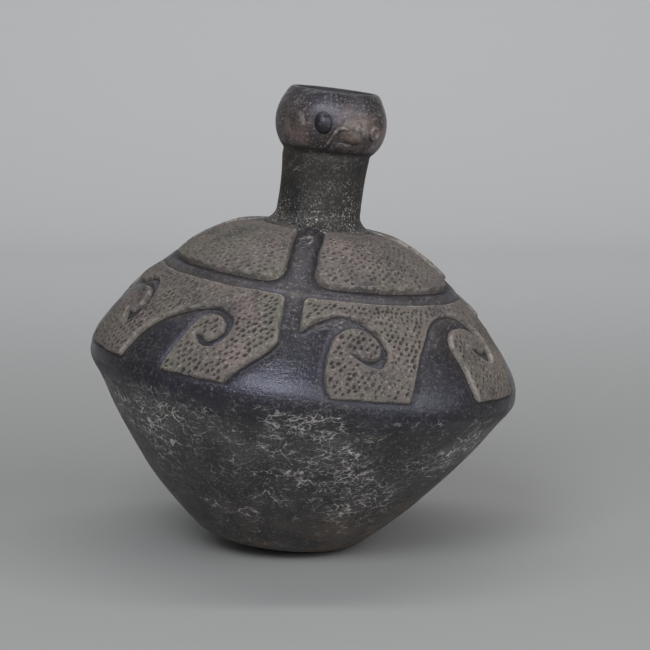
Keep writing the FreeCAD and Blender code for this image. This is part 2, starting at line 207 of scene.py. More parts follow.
def soft_step(low, high, value):
    share = np.clip((value - low) / (high - low), 0, 1)
    return share * share * (3 - 2 * share)


def soft_least(first, second, rounding):
    """The lesser of two distances, with the corner where they cross rounded off."""
    share = np.clip(0.5 + 0.5 * (second - first) / rounding, 0, 1)
    return second * (1 - share) + first * share - rounding * share * (1 - share)


def soft_noise(places, size, seed):
    """Smooth random values from -1 to 1 at places in space, in lumps of a size."""
    cells = 24
    lattice = np.random.default_rng(seed).uniform(-1, 1, (cells, cells, cells))
    scaled = places / size + 100.0
    corner = np.floor(scaled).astype(int)
    share = scaled - corner
    share = share * share * (3 - 2 * share)
    total = np.zeros(places.shape[:-1])
    for step in np.ndindex(2, 2, 2):
        weight = np.prod(np.where(np.array(step) == 1, share, 1 - share), axis=-1)
        index = (corner + step) % cells
        total += weight * lattice[index[..., 0], index[..., 1], index[..., 2]]
    return total


class Outline:
    """The outside of the bottle in section, readable at any travel along it."""

    def __init__(self):
        dome_radii = np.linspace(0, DOME_EDGE, 8)
        dome = [(radius, DOME_MIDDLE - math.sqrt(DOME_RADIUS ** 2 - radius ** 2)) for radius in dome_radii]
        line = flowing_line(dome + list(OUTSIDE))
        travel = np.concatenate([[0], np.cumsum(np.hypot(*np.diff(line, axis=0).T))])
        self.radius, self.height = line.T
        self.travel = travel - np.interp(KEEL_TOP, self.height, travel)
        along = np.gradient(line, self.travel, axis=0)
        along /= np.hypot(*along.T)[:, None]
        self.out_across, self.out_up = along[:, 1], -along[:, 0]

    def travel_at(self, height):
        return float(np.interp(height, self.height, self.travel))

    def radius_at(self, travel):
        return np.interp(travel, self.travel, self.radius)


OUTLINE = Outline()


def wandered(across, height, azimuth):
    """Places in space at a distance across from the wandering middle of the bottle."""
    angle = np.radians(azimuth)
    shift = np.interp(height, *zip(*WANDER))
    return np.stack([shift + across * np.sin(angle), -across * np.cos(angle), height + 0 * angle], axis=-1)


def hand_lumps(places, across, form):
    """How far the hand-pressed wall stands off its smooth shape; less on the small neck."""
    size = (0.3 + 0.7 * np.clip(across / 90.0, 0, 1)) * form.lump_depth / MM
    return size * (0.75 * soft_noise(places, 42.0, 11) + 0.3 * soft_noise(places, 15.0, 12)
                   + 0.09 * soft_noise(places, 5.5, 13))


def on_outside(azimuth, travel, stand, form):
    """Places on the hand-pressed outside, or standing off it, at azimuths and travels."""
    across = np.interp(travel, OUTLINE.travel, OUTLINE.radius)
    height = np.interp(travel, OUTLINE.travel, OUTLINE.height)
    out_across = np.interp(travel, OUTLINE.travel, OUTLINE.out_across)
    out_up = np.interp(travel, OUTLINE.travel, OUTLINE.out_up)
    off = stand + hand_lumps(wandered(across, height, azimuth), across, form)
    return wandered(across + off * out_across, height + off * out_up, azimuth)


def neck_mount():
    return next(mount for mount in frame["record"]["mounts"] if mount["name"] == "neck_bore")


def set_down(places):
    """Leans places shaped upright in millimetres and puts them where the frame has them, in metres."""
    mount = neck_mount()
    axis = Vector(mount["axis"]).normalized()
    side = Vector((axis.z, 0, -axis.x))
    bore_middle = COLLAR_FLOOR + mount["dims"]["length_mm"] / 2
    middle = Vector(mount["pos_m"]) - (axis * bore_middle + side * NECK_SHIFT) * MM
    turn = np.array([side, (0, 1, 0), axis])
    return places @ turn * MM + np.array(middle)


# Meshes


def make_piece(name, places, faces, marks, finish, *nodes):
    """A piece of the bottle from places in the bottle's millimetres, faces and marks at its places."""
    mesh = bpy.data.meshes.new(name)
    placed = set_down(places.reshape(-1, 3))
    placed[:, 2] = np.maximum(placed[:, 2], 0)
    counts = [len(block[0]) for block in faces for row in block]
    corners = np.concatenate([np.asarray(block).ravel() for block in faces])
    mesh.vertices.add(len(placed))
    mesh.vertices.foreach_set("co", placed.ravel())
    mesh.loops.add(len(corners))
    mesh.loops.foreach_set("vertex_index", corners)
    mesh.polygons.add(len(counts))
    starts = np.concatenate([[0], np.cumsum(counts)[:-1]])
    mesh.polygons.foreach_set("loop_start", starts)
    mesh.update(calc_edges=True)
    mesh.validate()
    mesh.polygons.foreach_set("use_smooth", np.ones(len(mesh.polygons), bool))
    for mark, values in marks.items():
        layer = mesh.attributes.new(mark, "FLOAT", "POINT")
        layer.data.foreach_set("value", np.asarray(values, np.float32).ravel())
    piece = bpy.data.objects.new(name, mesh)
    bpy.context.scene.collection.objects.link(piece)
    mesh.materials.append(bpy.data.materials[finish + "_finish"])
    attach(piece, BODY)
    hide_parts(*nodes)
    return piece


def round_faces(rows, columns, joined=True):
    """Quads between rows of a turned piece; joined closes its section into a ring."""
    row = np.arange(rows if joined else rows - 1)[:, None]
    column = np.arange(columns)[None, :]
    above, beside = (row + 1) % rows, (column + 1) % columns
    quads = np.stack([row * columns + column, row * columns + beside, above * columns + beside,
                      above * columns + column], axis=-1)
    return quads.reshape(-1, 4)


def turned_piece(name, outer, inner, finish, *nodes, marks=None):
    """A ring of clay from rows of places up its outside and up its inside, with crisp seams. The
    inside carries painted shade."""
    rows = np.concatenate([outer, inner[::-1]])
    marks = {"hollow": np.zeros(outer.shape[:2]), **(marks or {})}
    marks = {mark: np.concatenate([values, np.full(inner.shape[:2], float(mark == "hollow"))])
             for mark, values in marks.items()}
    piece = make_piece(name, rows, [round_faces(*rows.shape[:2])], marks, finish, *nodes)
    piece.data.set_sharp_from_angle(angle=SEAM_ANGLE)
    return piece


def around(columns):
    return np.arange(columns) * 360.0 / columns


def outside_rows(start_height, end_height, step, columns, form, stand=0.0):
    """Rows up the outside between two heights, and the azimuths and travels they lie at."""
    start, end = OUTLINE.travel_at(start_height), OUTLINE.travel_at(end_height)
    travels = np.linspace(start, end, max(int((end - start) / step), 2) + 1)
    azimuth, travel = np.meshgrid(around(columns), travels)
    return on_outside(azimuth, travel, stand, form), azimuth, travel


def inside_rows(points, spacing, columns):
    """Plain rows up the inside, through (radius, height) points."""
    line = flowing_line(points, spacing)
    azimuth, across = np.meshgrid(around(columns), line[:, 0])
    return wandered(across, np.repeat(line[:, 1:], columns, axis=1), azimuth)


def raised_piece(name, azimuth, travel, height, marks, finish, *nodes, form):
    """A closed slab of clay on the outside. Height is over a grid of azimuths and travels, and
    negative where the piece has ended, where its edge dips under the clay around it."""
    rows, columns = height.shape
    top = on_outside(azimuth, travel, np.maximum(height, BURIED), form)
    bottom = on_outside(azimuth, travel, BURIED + 0 * height, form)
    kept = height > TRIM
    cells = kept[:-1, :-1] | kept[1:, :-1] | kept[:-1, 1:] | kept[1:, 1:]
    numbers = np.arange(rows * columns).reshape(rows, columns)
    low_left, low_right = numbers[:-1, :-1], numbers[:-1, 1:]
    high_left, high_right = numbers[1:, :-1], numbers[1:, 1:]
    below = rows * columns
    quads = [np.stack([low_left, low_right, high_right, high_left], -1)[cells],
             np.stack([high_left, high_right, low_right, low_left], -1)[cells] + below]
    framed = np.pad(cells, 1)
    sides = ((framed[:-2, 1:-1], low_right, low_left), (framed[2:, 1:-1], high_left, high_right),
             (framed[1:-1, :-2], low_left, high_left), (framed[1:-1, 2:], high_right, low_right))
    for beside, start, end in sides:
        open_side = cells & ~beside
        quads.append(np.stack([start, end, end + below, start + below], -1)[open_side])
    quads = np.concatenate(quads)
    used, quads = np.unique(quads, return_inverse=True)
    places = np.concatenate([top.reshape(-1, 3), bottom.reshape(-1, 3)])[used]
    marks = {mark: np.concatenate([values.ravel(), 0 * values.ravel()])[used]
             for mark, values in marks.items()}
    return make_piece(name, places, [quads.reshape(-1, 4)], marks, finish, *nodes)


# The decoration, as distances in millimetres over the outside


def per_degree(travel):
    return np.radians(1.0) * OUTLINE.radius_at(travel)


def turned_to(azimuth, middle):
    """Azimuths written within half a turn of a middle one."""
    return (azimuth - middle + 180.0) % 360.0 - 180.0 + middle


def depth_inside(azimuth, travel, outline):
    """Distance from places to a closed outline of (azimuth, travel) points, positive inside it."""
    outline = np.asarray(outline)
    middle = (outline[:, 0].min() + outline[:, 0].max()) / 2
    azimuth = turned_to(azimuth, middle)
    scale = per_degree(travel)
    nearest = np.full(azimuth.shape, np.inf)
    inside = np.zeros(azimuth.shape, bool)
    for start, end in zip(outline, np.roll(outline, -1, axis=0)):
        start_across, start_up = (start[0] - azimuth) * scale, start[1] - travel
        run, rise = (end[0] - start[0]) * scale, end[1] - start[1]
        along = np.clip(-(start_across * run + start_up * rise) / (run * run + rise * rise), 0, 1)
        nearest = np.minimum(nearest, np.hypot(start_across + along * run, start_up + along * rise))
        if rise != 0:
            crosses = (start_up > 0) != (start_up + rise > 0)
            inside ^= crosses & (start_across - start_up * run / rise > 0)
    return np.where(inside, nearest, -nearest)


def wave_outlines():
    """The smooth outlines of all eight waves; the back half repeats the front one."""
    millimetres_per_degree = 1.4        # about, over the middle of the waves
    outlines = []
    for half in (0.0, 180.0):
        for wave in WAVES:
            unrolled = flowing_line(np.array(wave) * (millimetres_per_degree, 1.0), 1.5)
            outlines.append(unrolled / (millimetres_per_degree, 1.0) + (half, 0.0))
    return outlines


WAVE_OUTLINES = wave_outlines()


def strap_gap(azimuth, travel, half_width):
    """Distance from the nearest strap, negative on it."""
    gaps = [np.abs(turned_to(azimuth, strap) - strap) * per_degree(travel) - half_width for strap in STRAPS]
    return np.minimum.reduce(gaps)


def hand_cut(azimuth, travel, seed):
    """The small wobble of a line cut by hand."""
    places = wandered(OUTLINE.radius_at(travel), travel, azimuth)
    return 0.34 * soft_noise(places, 9.0, seed) + 0.12 * soft_noise(places, 2.2, seed + 1)


def scroll_ground_depth(azimuth, travel):
    """How far inside a scroll ground each place lies; negative on waves, straps and the arc band."""
    strap_half, strap_foot, corner, wave_corner = 4.6, 26.0, 3.0, 0.8
    wave_reach, far = 45.0, 99.0        # degrees to either side of a wave, and beyond them
    strap = np.maximum(strap_gap(azimuth, travel, strap_half), strap_foot - travel)
    depth = soft_least(SCROLL_TOP - travel, strap, corner)
    depth = soft_least(depth, travel - SCROLL_FOOT, corner)
    for outline in WAVE_OUTLINES:
        middle = (outline[:, 0].min() + outline[:, 0].max()) / 2
        near = np.abs(turned_to(azimuth, middle) - middle) < wave_reach
        wave = np.full(azimuth.shape, far)
        wave[near] = -depth_inside(azimuth[near], travel[near], outline)
        depth = soft_least(depth, wave, wave_corner)
    return depth + hand_cut(azimuth, travel, 21)


def cap_ground_depth(azimuth, travel):
    """How far inside a cap ground each place lies."""
    corner = 11.0
    depth = soft_least(travel - CAP_FOOT, strap_gap(azimuth, travel, STRAP_HALF), corner)
    return np.minimum(depth, CAP_TOP - travel) + hand_cut(azimuth, travel, 31)


def ground_height(depth, stand):
    """Height of a raised ground: a crisp edge that dips under the clay outside it."""
    edge_rounding, dip = 0.2, 1.9
    risen = stand * (1 - np.exp(-np.maximum(depth, 0) / edge_rounding))
    return np.where(depth > 0, risen, dip * depth)


class StabTool:
    """The pointed tool that stabs the grounds, in rows that lean."""

    ROW_SPACING = 0.92          # of the spacing along a row
    JITTER = 0.22               # of the spacing, either way
    ROW_LEAN = -62.0            # degrees from the lean of the stabs
    MADE = 0.93                 # share of the places that are stabbed

    def __init__(self, seed, spacing, length, width, depth, lean, margin):
        self.random = np.random.default_rng(seed)
        self.spacing, self.length, self.width = spacing, length, width
        self.depth, self.lean, self.margin = depth, lean, margin

    def places(self, azimuth, travel, depth):
        """Stab places as (azimuth, travel) in leaning, uneven rows inside the ground."""
        middle = azimuth.mean()
        scale = per_degree(travel.mean())
        reach = math.hypot(np.ptp(azimuth) * scale, np.ptp(travel)) / 2
        count = int(reach / self.spacing) + 1
        steps = np.arange(-count, count + 1) * self.spacing
        across, along = np.meshgrid(steps, steps * self.ROW_SPACING)
        across = across + (np.arange(len(steps)) % 2)[:, None] * self.spacing * 0.5
        jitter = self.random.uniform(-self.JITTER, self.JITTER, (2, *across.shape)) * self.spacing
        across, along = across + jitter[0], along + jitter[1]
        turn = math.radians(self.lean + self.ROW_LEAN)
        stab_azimuth = middle + (across * math.cos(turn) - along * math.sin(turn)) / scale
        stab_travel = travel.mean() + across * math.sin(turn) + along * math.cos(turn)
        wanted = self.random.uniform(0, 1, across.shape) < self.MADE
        column = np.searchsorted(azimuth[0], stab_azimuth)
        row = np.searchsorted(travel[:, 0], stab_travel)
        rows, columns = depth.shape
        wanted &= (column > 0) & (column < columns) & (row > 0) & (row < rows)
        column, row = np.clip(column, 0, columns - 1), np.clip(row, 0, rows - 1)
        wanted &= depth[row, column] > self.margin
        return np.stack([stab_azimuth[wanted], stab_travel[wanted]], -1)

    def wear(self, azimuth, travel):
        """How much of a stab is left: the grounds are rubbed almost smooth in places."""
        place = wandered(OUTLINE.radius_at(travel), travel, azimuth)[None]
        return 0.45 + 0.55 * soft_step(-0.5, -0.05, soft_noise(place, 14.0, 71)[0])

    def press(self, azimuth, travel, depth, height):
        """Presses every stab into height and returns a mark of painted shade that is one down in the stabs."""
        mark = np.zeros(height.shape)
        for stab_azimuth, stab_travel in self.places(azimuth, travel, depth):
            size = self.random.uniform(0.7, 1.25)
            narrow = self.random.uniform(0.8, 1.2)
            lean = math.radians(self.lean + self.random.normal(0, 14))
            deep = self.depth * self.random.uniform(0.6, 1.15) * self.wear(stab_azimuth, stab_travel)
            scale = per_degree(stab_travel)
            reach = self.length * size
            ends = np.array([-reach, reach])
            columns = slice(*np.searchsorted(azimuth[0], stab_azimuth + ends / scale))
            rows = slice(*np.searchsorted(travel[:, 0], stab_travel + ends))
            across = (azimuth[rows, columns] - stab_azimuth) * scale
            up = travel[rows, columns] - stab_travel
            along = (across * math.cos(lean) + up * math.sin(lean)) / (self.length * size / 2)
            beside = (up * math.cos(lean) - across * math.sin(lean)) / (self.width * size * narrow / 2)
            out = along ** 2 + beside ** 2
            bowl = np.clip(1.15 - out, 0, 1) ** 0.8 * (1 + 0.3 * along)
            burr = 0.13 * self.depth * np.exp(-((np.sqrt(out) - 1.35) / 0.25) ** 2)
            height[rows, columns] += burr - deep * bowl
            shade = np.clip(1.4 - out, 0, 1) * min(1.0, 0.25 + deep / self.depth)
            mark[rows, columns] = np.maximum(mark[rows, columns], shade)
        return mark


# Shared effects of the clay finishes

VALUE = "NodeSocketFloat"


class Value:
    """A number, a colour or a place that a node gives. Numbers can be added, multiplied and faded."""

    def __init__(self, sheet, socket):
        self.sheet, self.socket = sheet, socket

    def __add__(self, other):
        return self.sheet.math("ADD", self, other)

    def __mul__(self, other):
        return self.sheet.math("MULTIPLY", self, other)

    def fade(self, low, high, start=0.0, end=1.0):
        """Spread smoothly from start to end as it goes from low to high."""
        inputs = {"Value": self, "From Min": low, "From Max": high, "To Min": start, "To Max": end}
        return self.sheet.add("ShaderNodeMapRange", inputs, interpolation_type="SMOOTHSTEP")["Result"]


class NodeOutputs:
    """The outputs of a node, read by name or number as values."""

    def __init__(self, sheet, node):
        self.sheet, self.node = sheet, node

    def __getitem__(self, output):
        return Value(self.sheet, self.node.outputs[output])


class Sheet:
    """A node tree that an effect or a finish is drawn on."""

    def __init__(self, tree):
        self.tree = tree

    def put(self, value, socket):
        """Joins a value to a socket, or sets the socket to a plain number or colour."""
        if isinstance(value, Value):
            self.tree.links.new(value.socket, socket)
        else:
            socket.default_value = value

    def add(self, kind, inputs=None, **settings):
        """Adds a node with its settings made and its inputs filled, and gives its outputs."""
        made = self.tree.nodes.new(kind)
        for name, value in settings.items():
            setattr(made, name, value)
        for name, value in (inputs or {}).items():
            self.put(value, made.inputs[name])
        return NodeOutputs(self, made)

    def math(self, operation, first, second):
        return self.add("ShaderNodeMath", {0: first, 1: second}, operation=operation)[0]

    def move(self, operation, first, second):
        """Reckons with places, or scales a place by a number."""
        second_input = "Scale" if operation == "SCALE" else 1
        return self.add("ShaderNodeVectorMath", {0: first, second_input: second}, operation=operation)[0]

    def place(self):
        return self.add("ShaderNodeTexCoord")["Object"]

    def level(self):
        """Height above the floor, in metres."""
        return self.add("ShaderNodeSeparateXYZ", {0: self.place()})["Z"]

    def mark(self, name):
        """A mark that a piece carries at its places; zero where it carries none."""
        return self.add("ShaderNodeAttribute", attribute_name=name)["Fac"]

    def noise(self, scale, detail, roughness, seed=None, place=None):
        """Cloud-like noise. One with a seed is a slice of noise in four dimensions."""
        inputs = {"Vector": place or self.place(), "Scale": scale, "Detail": detail,
                  "Roughness": roughness}
        if seed is None:
            return self.add("ShaderNodeTexNoise", inputs)
        return self.add("ShaderNodeTexNoise", {**inputs, "W": seed}, noise_dimensions="4D")

    def tint(self, share, first, second):
        """One colour going over into another by a share."""
        return self.add("ShaderNodeMix", {0: share, 6: first, 7: second}, data_type="RGBA")[2]

    def effect(self, name, **inputs):
        """Places a shared effect and gives its outputs."""
        inputs = {label.capitalize(): value for label, value in inputs.items()}
        return self.add("ShaderNodeGroup", inputs, node_tree=bpy.data.node_groups[name])

    def patches(self, scale, low, high, seed=0.0, detail=4.0):
        inputs = {"scale": scale, "detail": detail, "low": low, "high": high, "seed": seed}
        return self.effect("cloudy patches", **inputs)["Mask"]


def start_group(name, **inputs):
    """The sheet of a new shared effect, and its inputs as values."""
    group = bpy.data.node_groups.new(name, "ShaderNodeTree")
    for label, value in inputs.items():
        group.interface.new_socket(label, in_out="INPUT", socket_type=VALUE).default_value = value
    sheet = Sheet(group)
    return sheet, sheet.add("NodeGroupInput")


def end_group(sheet, **outputs):
    for label in outputs:
        sheet.tree.interface.new_socket(label, in_out="OUTPUT", socket_type=VALUE)
    sheet.add("NodeGroupOutput", outputs)


def cloudy_patches():
    """Soft patches with ragged edges."""
    sheet, given = start_group("cloudy patches", Scale=20.0, Detail=4.0, Low=0.42, High=0.6, Seed=0.0)
    noise = sheet.noise(given["Scale"], given["Detail"], 0.62, given["Seed"])
    end_group(sheet, Mask=noise["Fac"].fade(given["Low"], given["High"]))


def pale_specks():
    """Small chips and grains where pale clay shows."""
    sheet, given = start_group("pale specks", Scale=500.0, Size=0.3, Share=0.3, Seed=0.0)
    inputs = {"Vector": sheet.place(), "Scale": given["Scale"], "W": given["Seed"]}
    cells = sheet.add("ShaderNodeTexVoronoi", inputs, voronoi_dimensions="4D")
    chance = sheet.add("ShaderNodeSeparateColor", {"Color": cells["Color"]})[0]
    chosen = sheet.math("LESS_THAN", chance, given["Share"])
    end_group(sheet, Mask=cells["Distance"].fade(given["Size"], 0.0) * chosen)


def root_marks():
    """Thin, long, branching marks that roots leave on buried clay, broken into stretches."""
    sheet, given = start_group("root marks", Scale=90.0, Width=0.05, Cover=0.5, Seed=0.0)
    place = sheet.place()
    moved = sheet.move("MULTIPLY", place, (1.0, 1.0, 1.7))
    for finer, reach in ((0.8, 0.7), (4.5, 0.17)):
        noise = sheet.noise(given["Scale"] * finer, 2.0, 0.5, given["Seed"], place)
        shift = sheet.move("SUBTRACT", noise["Color"], (0.5, 0.5, 0.5))
        shift = sheet.move("SCALE", shift, sheet.math("DIVIDE", 2 * reach, given["Scale"]))
        moved = sheet.move("ADD", moved, shift)
    inputs = {"Vector": moved, "Scale": given["Scale"], "W": given["Seed"]}
    cells = sheet.add("ShaderNodeTexVoronoi", inputs, voronoi_dimensions="4D", feature="DISTANCE_TO_EDGE")
    thread = cells["Distance"].fade(given["Width"], 0.0)
    cover = sheet.noise(42.0, 7.0, 0.72, given["Seed"], place)
    low = sheet.math("SUBTRACT", 0.82, given["Cover"])
    film = cover["Fac"].fade(low, low + 0.16)
    broken = sheet.noise(210.0, 3.0, 0.5, place=moved)["Fac"].fade(0.41, 0.56)
    end_group(sheet, Mask=thread * film * broken, Film=film)


def burnish_strokes():
    """Long low strokes of the burnishing stone around the bottle."""
    sheet, given = start_group("burnish strokes", Scale=45.0, Stretch=6.0, Seed=0.0)
    parts = sheet.add("ShaderNodeSeparateXYZ", {0: sheet.place()})
    place = {0: parts["X"], 1: parts["Y"], 2: parts["Z"] * given["Stretch"]}
    noise = sheet.noise(given["Scale"], 3.0, 0.5, given["Seed"], sheet.add("ShaderNodeCombineXYZ", place)[0])
    end_group(sheet, Height=noise["Fac"], Mask=noise["Fac"].fade(0.38, 0.66))


def clay_grit():
    """The grain of clay and temper: its height, and where it is pale or dark."""
    sheet, given = start_group("clay grit", Scale=900.0, Seed=0.0)
    noise = sheet.noise(given["Scale"], 3.0, 0.7, given["Seed"])["Fac"]
    end_group(sheet, Height=noise, Pale=noise.fade(0.53, 0.7), Dark=noise.fade(0.47, 0.3))


def rubbed_edge():
    """An edge mark broken up into rubbed stretches."""
    sheet, given = start_group("rubbed edge", Edge=0.0, Scale=260.0, Low=0.4, High=0.62)
    noise = sheet.noise(given["Scale"], 3.0, 0.6)["Fac"]
    end_group(sheet, Mask=given["Edge"] * noise.fade(given["Low"], given["High"]))


class Finish(Sheet):
    """The finish of a material slot: clay of one colour with coats of others over it."""

    def __init__(self, slot, colours, first):
        material = bpy.data.materials.new(slot + "_finish")
        material.use_nodes = True
        super().__init__(material.node_tree)
        self.shader = material.node_tree.nodes["Principled BSDF"]
        self.colours = colours
        self.colour = self.plain(first)

    def plain(self, name):
        return (*getattr(self.colours, name), 1.0)

    def coat(self, name, share):
        """Goes over the clay with a colour by a share."""
        self.colour = self.tint(share, self.colour, self.plain(name))

    def grains(self, grit, pale, dark):
        self.coat("worn", grit["Pale"] * pale)
        self.coat("shade_and_dark_grit", grit["Dark"] * dark)

    def roots(self, share, cover):
        """Nets the clay with coarse and fine root marks over a dusty film, and gives their mask."""
        cover = self.mark("rooted") * 0.14 + cover
        coarse = self.effect("root marks", scale=95.0, width=0.034, cover=cover, seed=1.0)
        fine = self.effect("root marks", scale=230.0, width=0.06, cover=cover, seed=2.0)
        dust = self.effect("clay grit", scale=620.0, seed=7.0)["Pale"]
        self.coat("worn", coarse["Film"] * (dust * 0.5 + 0.06) * share)
        roots = (coarse["Mask"] + fine["Mask"] * 0.8) * share
        self.coat("root", roots)
        return roots

    def smoke(self):
        """Smokes the clay under a cloudy brown film, and gives its haze and its film."""
        self.coat("violet", self.patches(26.0, 0.36, 0.66))
        haze = self.patches(60.0, 0.44, 0.72, seed=3.0, detail=7.0)
        film = (haze * 0.7 + 0.2) * self.mark("upper")
        self.coat("dust", film + haze * 0.15)
        return haze, film

    def rubbed_red(self):
        """Shows reddish clay where the black is rubbed off, and gives how far it is."""
        patches = self.patches(130.0, 0.38, 0.58, seed=1.0, detail=6.0)
        rubbed = (patches * 0.75 + 0.2) * self.mark("rubbed")
        self.coat("face", rubbed)
        return rubbed

    def done(self, roughness, height, relief, gloss):
        """Joins the colour, the roughness and the fine relief, in metres of height, to the shader."""
        self.put(self.colour, self.shader.inputs["Base Color"])
        self.put(roughness, self.shader.inputs["Roughness"])
        bump = self.add("ShaderNodeBump", {"Height": height, "Distance": relief, "Strength": 1.0})
        self.put(bump["Normal"], self.shader.inputs["Normal"])
        self.shader.inputs["Specular IOR Level"].default_value = gloss


def burnished_black_clay(colours):
    """Rubbed, smoke-black clay with a soft bluish sheen, pale chips and faint strokes."""
    clay = Finish("burnished_black_clay", colours, "burnished")
    haze, film = clay.smoke()
    clay.rubbed_red()
    upper, under_keel, hollow = (clay.mark(name) for name in ("upper", "under_keel", "hollow"))
    grit = clay.effect("clay grit", scale=800.0, seed=3.0)
    clay.grains(grit, upper * 0.3 + 0.2, 0.35)
    clay.coat("ground", clay.mark("ground_edge") * (haze * 0.6 + 0.4))
    clay.roots(upper * 0.26 + 0.1, 0.35)
    above_keel = clay.colour
    clay.coat("bowl", haze * 0.7 + 0.25)
    clay.roots(0.85, 0.335)
    clay.colour = clay.tint(under_keel, above_keel, clay.colour)
    chips = clay.effect("pale specks", scale=620.0, size=0.5, share=0.3, seed=1.0)["Mask"]
    # More pale chips beside the grounds; the patch of them on the eye boss is a painted highlight
    chips *= clay.mark("chips_and_glint") * 0.7 + 0.2
    chips *= clay.patches(120.0, 0.44, 0.6, seed=6.0)
    clay.coat("worn", chips)
    # Painted shade: dark in the grooves beside the grounds, under the cap grounds, along the keel, in the
    # bulb's sockets and crease and on the insides
    clay.coat("shade_and_dark_grit", hollow)
    strokes = clay.effect("burnish strokes", scale=55.0)
    blotches = clay.patches(75.0, 0.36, 0.66, seed=9.0, detail=8.0)
    rough = blotches * 0.16 + chips * 0.25 + film * 0.35 + hollow * 0.25 + under_keel * 0.17 + 0.22
    height = strokes["Height"] * 0.35 + grit["Height"] * 0.35 + chips * 0.12 + blotches * 0.12
    clay.shader.inputs["Specular Tint"].default_value = (0.80, 0.82, 1.0, 1.0)
    clay.done(rough, height, 0.0006, 0.42)


def matte_panel_clay(colours):
    """Matte, scraped clay of the grounds, with painted shade in the stabs and pale on its rubbed edges."""
    clay = Finish("matte_panel_clay", colours, "ground")
    clay.coat("ground_green", clay.patches(38.0, 0.42, 0.62, seed=1.0) * 0.75)
    clay.coat("ground_pink", clay.patches(45.0, 0.5, 0.68, seed=5.0) * 0.6)
    smoke = clay.patches(60.0, 0.42, 0.72, seed=8.0, detail=6.0)
    clay.coat("violet", smoke * 0.6)
    grit = clay.effect("clay grit", scale=850.0, seed=2.0)
    clay.grains(grit, 0.55, 0.75)
    flecks = clay.effect("pale specks", scale=480.0, size=0.42, share=0.12, seed=4.0)["Mask"]
    clay.coat("root", flecks * 0.2)
    clay.coat("worn", clay.effect("rubbed edge", edge=clay.mark("worn_edge"))["Mask"] * 0.6)
    # Painted shade in the stabs
    clay.coat("shade_and_dark_grit", clay.mark("stab"))
    rough = grit["Height"].fade(0.3, 0.7, 0.62, 0.8)
    clay.done(rough, grit["Height"] * 0.8 + smoke * 0.25, 0.0008, 0.3)


def smoked_bowl_clay(colours):
    """Worn satin clay under the keel, netted with pale root marks and rusty at the foot."""
    clay = Finish("smoked_bowl_clay", colours, "burnished")
    clay.coat("violet", clay.patches(30.0, 0.36, 0.7, seed=2.0, detail=6.0))
    haze = clay.patches(55.0, 0.4, 0.7, seed=3.0, detail=8.0)
    clay.coat("bowl", haze * 0.7 + 0.25)
    grit = clay.effect("clay grit", scale=800.0, seed=3.0)
    clay.grains(grit, 0.4, 0.4)
    fire = clay.patches(42.0, 0.4, 0.64, seed=7.0, detail=7.0)
    clay.coat("rust", fire * clay.level().fade(0.046, 0.006) * 0.8)
    roots = clay.roots(0.85, 0.335)
    strokes = clay.effect("burnish strokes", scale=50.0, stretch=4.0, seed=5.0)
    rough = strokes["Mask"].fade(0.0, 1.0, 0.44, 0.56) + roots * 0.2
    height = strokes["Height"] * 0.6 + grit["Height"] * 0.4 + roots * 0.15
    clay.done(rough, height, 0.0004, 0.5)


def speckled_neck_clay(colours):
    """Smoked olive clay of the neck, with pale speckles that thicken towards its foot."""
    clay = Finish("speckled_neck_clay", colours, "burnished")
    clay.coat("neck", clay.patches(60.0, 0.4, 0.66, seed=4.0, detail=6.0))
    clay.coat("dust", clay.patches(90.0, 0.5, 0.68, seed=2.0) * 0.35)
    grit = clay.effect("clay grit", scale=950.0, seed=6.0)
    clusters = clay.patches(85.0, 0.4, 0.66, seed=3.0, detail=5.0)
    share = (clay.level().fade(0.181, 0.152) * 1.1 + 0.14) * (clusters + 0.25)
    specks = clay.effect("pale specks", scale=900.0, size=0.6, share=0.55, seed=5.0)["Mask"]
    clay.coat("root", (grit["Pale"] * 0.8 + specks * 0.4) * share)
    clay.coat("ground", clay.mark("ground_edge") * 0.6)
    clay.coat("shade_and_dark_grit", grit["Dark"] * 0.5)
    threads = clay.effect("root marks", scale=330.0, width=0.09, cover=0.34, seed=2.0)["Mask"]
    clay.coat("root", threads * 0.15)
    # Painted shade on the inside of the collar and the bore
    clay.coat("shade_and_dark_grit", clay.mark("hollow"))
    strokes = clay.effect("burnish strokes", scale=90.0, stretch=0.25, seed=3.0)
    rough = strokes["Mask"].fade(0.0, 1.0, 0.5, 0.66)
    clay.done(rough, strokes["Height"] * 0.6 + grit["Height"] * 0.5, 0.0006, 0.32)


def worn_face_clay(colours):
    """Clay of the little face, where handling has rubbed the black away to reddish brown."""
    clay = Finish("worn_face_clay", colours, "burnished")
    haze, _ = clay.smoke()
    rubbed = clay.rubbed_red()
    rub = clay.effect("rubbed edge", edge=clay.mark("worn_edge"), scale=320.0)["Mask"]
    clay.coat("worn", rub * 0.4)
    grit = clay.effect("clay grit", scale=900.0, seed=1.0)
    clay.grains(grit, 0.3, 0.4)
    # Painted shade, where a piece carries the mark
    clay.coat("shade_and_dark_grit", clay.mark("hollow"))
    rough = haze * 0.1 + rubbed * 0.1 + 0.34
    clay.done(rough, grit["Height"] * 0.5 + rubbed * 0.25, 0.0005, 0.5)


class BOTTLE_OT_finishes(bpy.types.Operator):
    """Makes the shared effects and the five clay finishes."""

    bl_idname = "bottle.finishes"
    bl_label = "Clay finishes"

    def execute(self, context):
        for make_effect in (cloudy_patches, pale_specks, root_marks, burnish_strokes, clay_grit, rubbed_edge):
            make_effect()
        for make_finish in (burnished_black_clay, matte_panel_clay, smoked_bowl_clay, speckled_neck_clay,
                            worn_face_clay):
            make_finish(context.scene.clay_colours)
        return {"FINISHED"}


